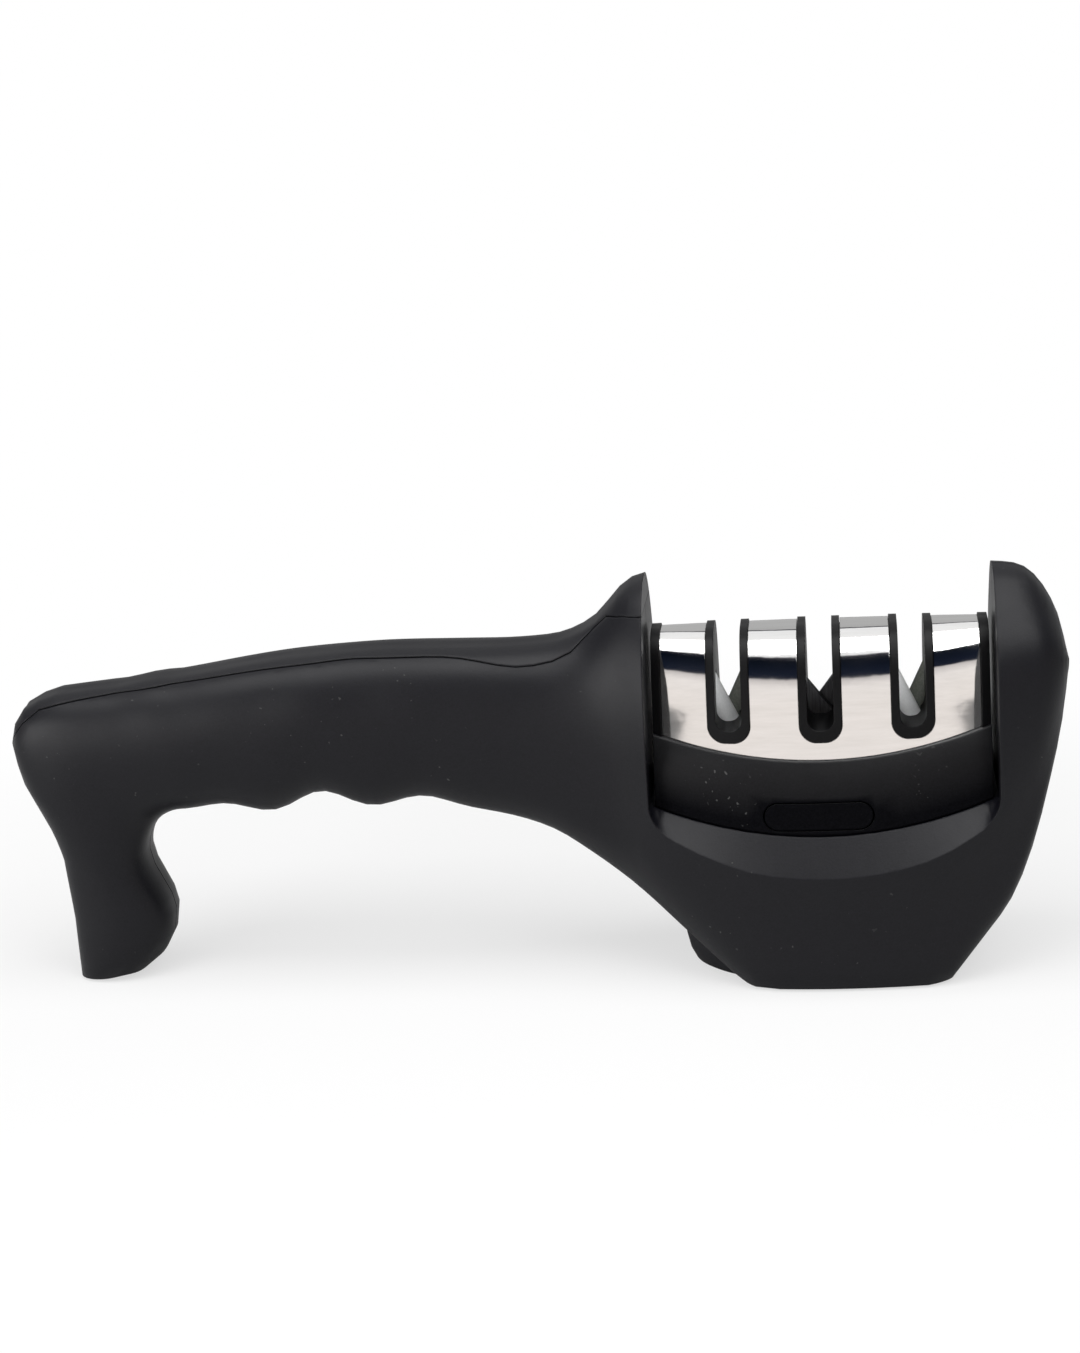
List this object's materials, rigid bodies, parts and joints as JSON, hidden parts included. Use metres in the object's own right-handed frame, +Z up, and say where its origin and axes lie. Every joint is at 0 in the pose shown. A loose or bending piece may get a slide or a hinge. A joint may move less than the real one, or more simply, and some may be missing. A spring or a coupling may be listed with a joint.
{
  "type": "pull through knife sharpener",
  "caption": "Hand-held pull through knife sharpener: arched black grip with a leg, round bowl foot, fin and post around a steel-clad cartridge with upright V slots.",
  "frame": {"origin": "centre of the footprint's bounding box on the surface it stands on", "axes": "+X from the grip to the sharpening head, +Y away from the front face, +Z up"},
  "size_m": [0.2076, 0.0448, 0.0789],
  "materials": {
    "housing_plastic": "fine textured black moulding with a soft sheen",
    "cover_plastic": "fine textured black moulding, slightly smoother",
    "plate_plastic": "plain black moulding",
    "screw_steel": "zinc plated",
    "pad_rubber": "matt non-slip rubber",
    "core_plastic": "satin black moulding",
    "steel_sheet": "bright polished sheet, faintly brushed",
    "skirt_plastic": "satin black moulding",
    "button_plastic": "satin black moulding",
    "white_ceramic": "fine matt ceramic",
    "dark_ceramic": "coarse matt ceramic",
    "carbide": "ground dark carbide",
    "spring_steel": "bright spring strip"
  },
  "bodies": {
    "housing": {"front_shell": "housing_plastic", "rear_shell": "housing_plastic", "handle_top_cover": "cover_plastic", "base_plate": "plate_plastic", "base_plate_screws": "screw_steel", "base_pad": "pad_rubber", "leg_pad": "pad_rubber"},
    "cartridge": {"cartridge_front_half": "core_plastic", "cartridge_rear_half": "core_plastic", "steel_cover": "steel_sheet", "cartridge_skirt": "skirt_plastic", "cartridge_bottom_plate": "plate_plastic", "cartridge_screws": "screw_steel", "rod_1_front": "white_ceramic", "rod_1_rear": "dark_ceramic", "rod_3_front": "white_ceramic", "rod_3_rear": "dark_ceramic", "carbide_blade_left": "carbide", "carbide_blade_right": "carbide", "blade_holder": "plate_plastic", "blade_screws": "screw_steel", "button_spring_front": "spring_steel", "button_spring_rear": "spring_steel"},
    "button_front": {"release_button_front": "button_plastic"},
    "button_rear": {"release_button_rear": "button_plastic"}
  },
  "joints": [
    {"name": "cartridge_lift", "type": "slide", "parent": "housing", "child": "cartridge", "axis": [0, 0, 1], "range_m": [0, 0.066]},
    {"name": "button_front_press", "type": "slide", "parent": "cartridge", "child": "button_front", "axis": [0, 1, 0], "range_m": [0, 0.0015], "stiffness_N_per_m": 800, "springref_m": -0.0005},
    {"name": "button_rear_press", "type": "slide", "parent": "cartridge", "child": "button_rear", "axis": [0, -1, 0], "range_m": [0, 0.0015], "stiffness_N_per_m": 800, "springref_m": -0.0005}
  ]
}
